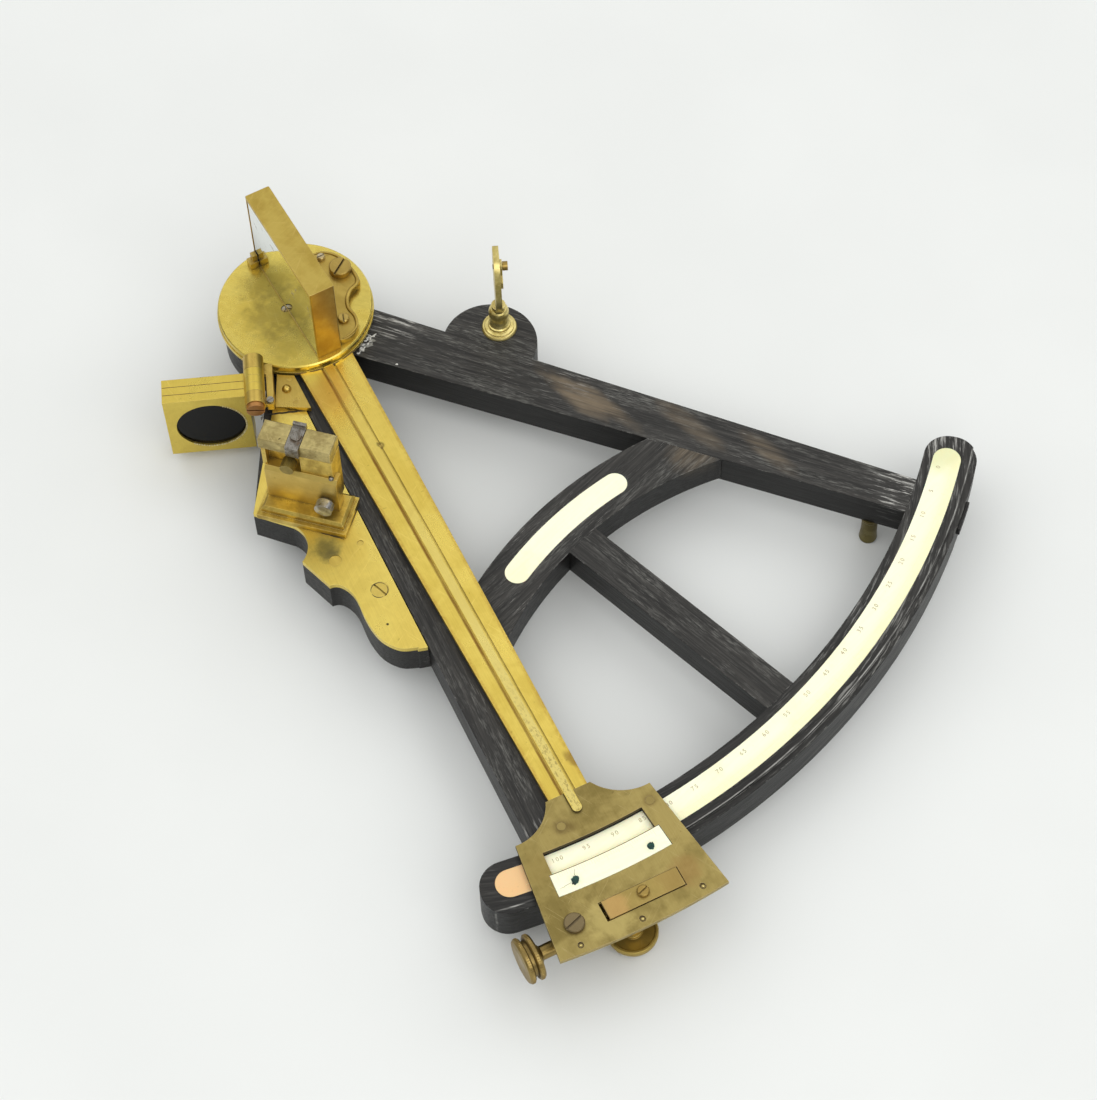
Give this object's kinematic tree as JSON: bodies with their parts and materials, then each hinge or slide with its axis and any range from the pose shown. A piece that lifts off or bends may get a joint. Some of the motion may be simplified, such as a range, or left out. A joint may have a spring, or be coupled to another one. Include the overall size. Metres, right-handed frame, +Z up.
{
  "type": "marine octant",
  "caption": "Marine octant: dark wooden sector frame with an inlaid degree arc, a pivoting brass index arm with mirror and vernier, hinged shades, a horizon mirror and a sight vane.",
  "frame": {"origin": "centre of the flat end of the foot under the apex, which is on the index arm's pivot axis and in the rest plane (the bottoms of the three feet)", "axes": "+Z up, along the pivot axis; -Y along the frame's symmetry axis from the apex to the limb; +X towards the zero end of the arc"},
  "size_m": [0.255, 0.2983, 0.0715],
  "materials": {
    "brass": "aged, lacquer worn",
    "dull_brass": "tarnished, brushed",
    "ebony": "satin",
    "ivory": "aged, semi-gloss",
    "mirror": "silvered glass",
    "nameplate_metal": "blank, aged",
    "shade_glass": "dark tinted",
    "steel": "worn"
  },
  "bodies": {
    "frame": {"left_leg": "ebony", "right_leg": "ebony", "limb": "ebony", "curved_brace": "ebony", "radial_brace": "ebony", "mirror_lug": "ebony", "arc_scale": "ivory", "nameplate": "nameplate_metal", "horizon_plate": "dull_brass", "horizon_plate_screws": "brass", "pivot_bush": "brass", "back_plate": "dull_brass", "back_plate_screws": "brass", "feet": "dull_brass", "limb_patch": "brass", "sight_socket": "brass", "shade_base": "dull_brass", "shade_leaf": "brass", "shade_pin": "brass", "shade_rivets": "brass", "small_steel_screws": "steel", "horizon_plinth": "dull_brass", "horizon_panel": "dull_brass", "horizon_mirror_frame": "brass", "horizon_mirror_glass": "mirror", "horizon_cap": "brass", "horizon_clip": "steel"},
    "index_arm": {"index_arm": "brass", "index_disc": "brass", "centre_axle": "steel", "axle_washer": "steel", "axle_nut": "brass", "index_mirror_case": "dull_brass", "index_mirror_glass": "mirror", "index_mirror_spring": "steel", "index_mirror_clip": "brass", "index_mirror_bracket": "dull_brass", "bracket_screws": "brass", "vernier_plate": "dull_brass", "vernier_scale": "ivory", "vernier_pins": "brass", "vernier_plate_screws": "brass", "tangent_bearing": "dull_brass"},
    "tangent_screw": {"tangent_screw": "brass"},
    "clamp": {"clamp_strip": "brass", "clamp_strip_screw": "brass", "clamp_block": "dull_brass"},
    "clamp_screw": {"clamp_screw": "brass"},
    "clamp_jaw": {"clamp_jaw": "dull_brass"},
    "shade_1": {"shade_frame_1": "brass", "shade_glass_1": "shade_glass"},
    "shade_2": {"shade_frame_2": "brass", "shade_glass_2": "shade_glass"},
    "shade_3": {"shade_frame_3": "brass", "shade_glass_3": "shade_glass"},
    "sight": {"sight_vane": "brass", "shutter_screw": "brass"},
    "shutter": {"sight_shutter": "brass"},
    "knurled_screw": {"knurled_screw": "brass"},
    "capstan_screw": {"capstan_screw": "steel"}
  },
  "joints": [
    {"name": "arm_swing", "type": "hinge", "parent": "frame", "child": "index_arm", "pos_m": [0, 0, 0.029], "axis": [0, 0, 1], "range_deg": [-2.6, 46.75]},
    {"name": "tangent_turn", "type": "hinge", "parent": "index_arm", "child": "tangent_screw", "pos_m": [-0.09163, -0.24972, 0.019], "axis": [0.9388, -0.3445, 0], "range_deg": [-140, 455]},
    {"name": "clamp_travel", "type": "slide", "parent": "index_arm", "child": "clamp", "axis": [0.9388, -0.3445, 0], "range_m": [-0.001, 0.0003]},
    {"name": "clamp_screw_turn", "type": "hinge", "parent": "clamp", "child": "clamp_screw", "pos_m": [-0.09076, -0.25111, 0.005], "axis": [0, 0, 1], "range_deg": [-5, 135]},
    {"name": "jaw_lift", "type": "slide", "parent": "clamp", "child": "clamp_jaw", "axis": [0, 0, 1], "range_m": [0, 0.00028]},
    {"name": "shade_1_swing", "type": "hinge", "parent": "frame", "child": "shade_1", "pos_m": [-0.03587, -0.0165, 0.0385], "axis": [0.657, 0.7539, 0], "range_deg": [0, 180]},
    {"name": "shade_2_swing", "type": "hinge", "parent": "frame", "child": "shade_2", "pos_m": [-0.03587, -0.0165, 0.0385], "axis": [0.657, 0.7539, 0], "range_deg": [0, 180]},
    {"name": "shade_3_swing", "type": "hinge", "parent": "frame", "child": "shade_3", "pos_m": [-0.03587, -0.0165, 0.0385], "axis": [0.657, 0.7539, 0], "range_deg": [0, 180]},
    {"name": "sight_turn", "type": "hinge", "parent": "frame", "child": "sight", "pos_m": [0.047, -0.0589, 0.035], "axis": [0, 0, 1], "range_deg": [-90, 90]},
    {"name": "shutter_turn", "type": "hinge", "parent": "sight", "child": "shutter", "pos_m": [0.04819, -0.05997, 0.0637], "axis": [0.7431, -0.6691, 0], "range_deg": [-90, 90]},
    {"name": "knurled_screw_turn", "type": "hinge", "parent": "frame", "child": "knurled_screw", "pos_m": [-0.05825, -0.06054, 0.0564], "axis": [-0.887, -0.4617, 0], "continuous": true},
    {"name": "capstan_screw_turn", "type": "hinge", "parent": "frame", "child": "capstan_screw", "pos_m": [-0.05393, -0.07226, 0.0386], "axis": [-0.887, -0.4617, 0], "continuous": true}
  ],
  "couplings": [
    {"joint": "tangent_turn", "follows": "clamp_travel", "rad_per_m": -7854.2},
    {"joint": "clamp_screw_turn", "follows": "jaw_lift", "rad_per_m": 7854.2}
  ]
}
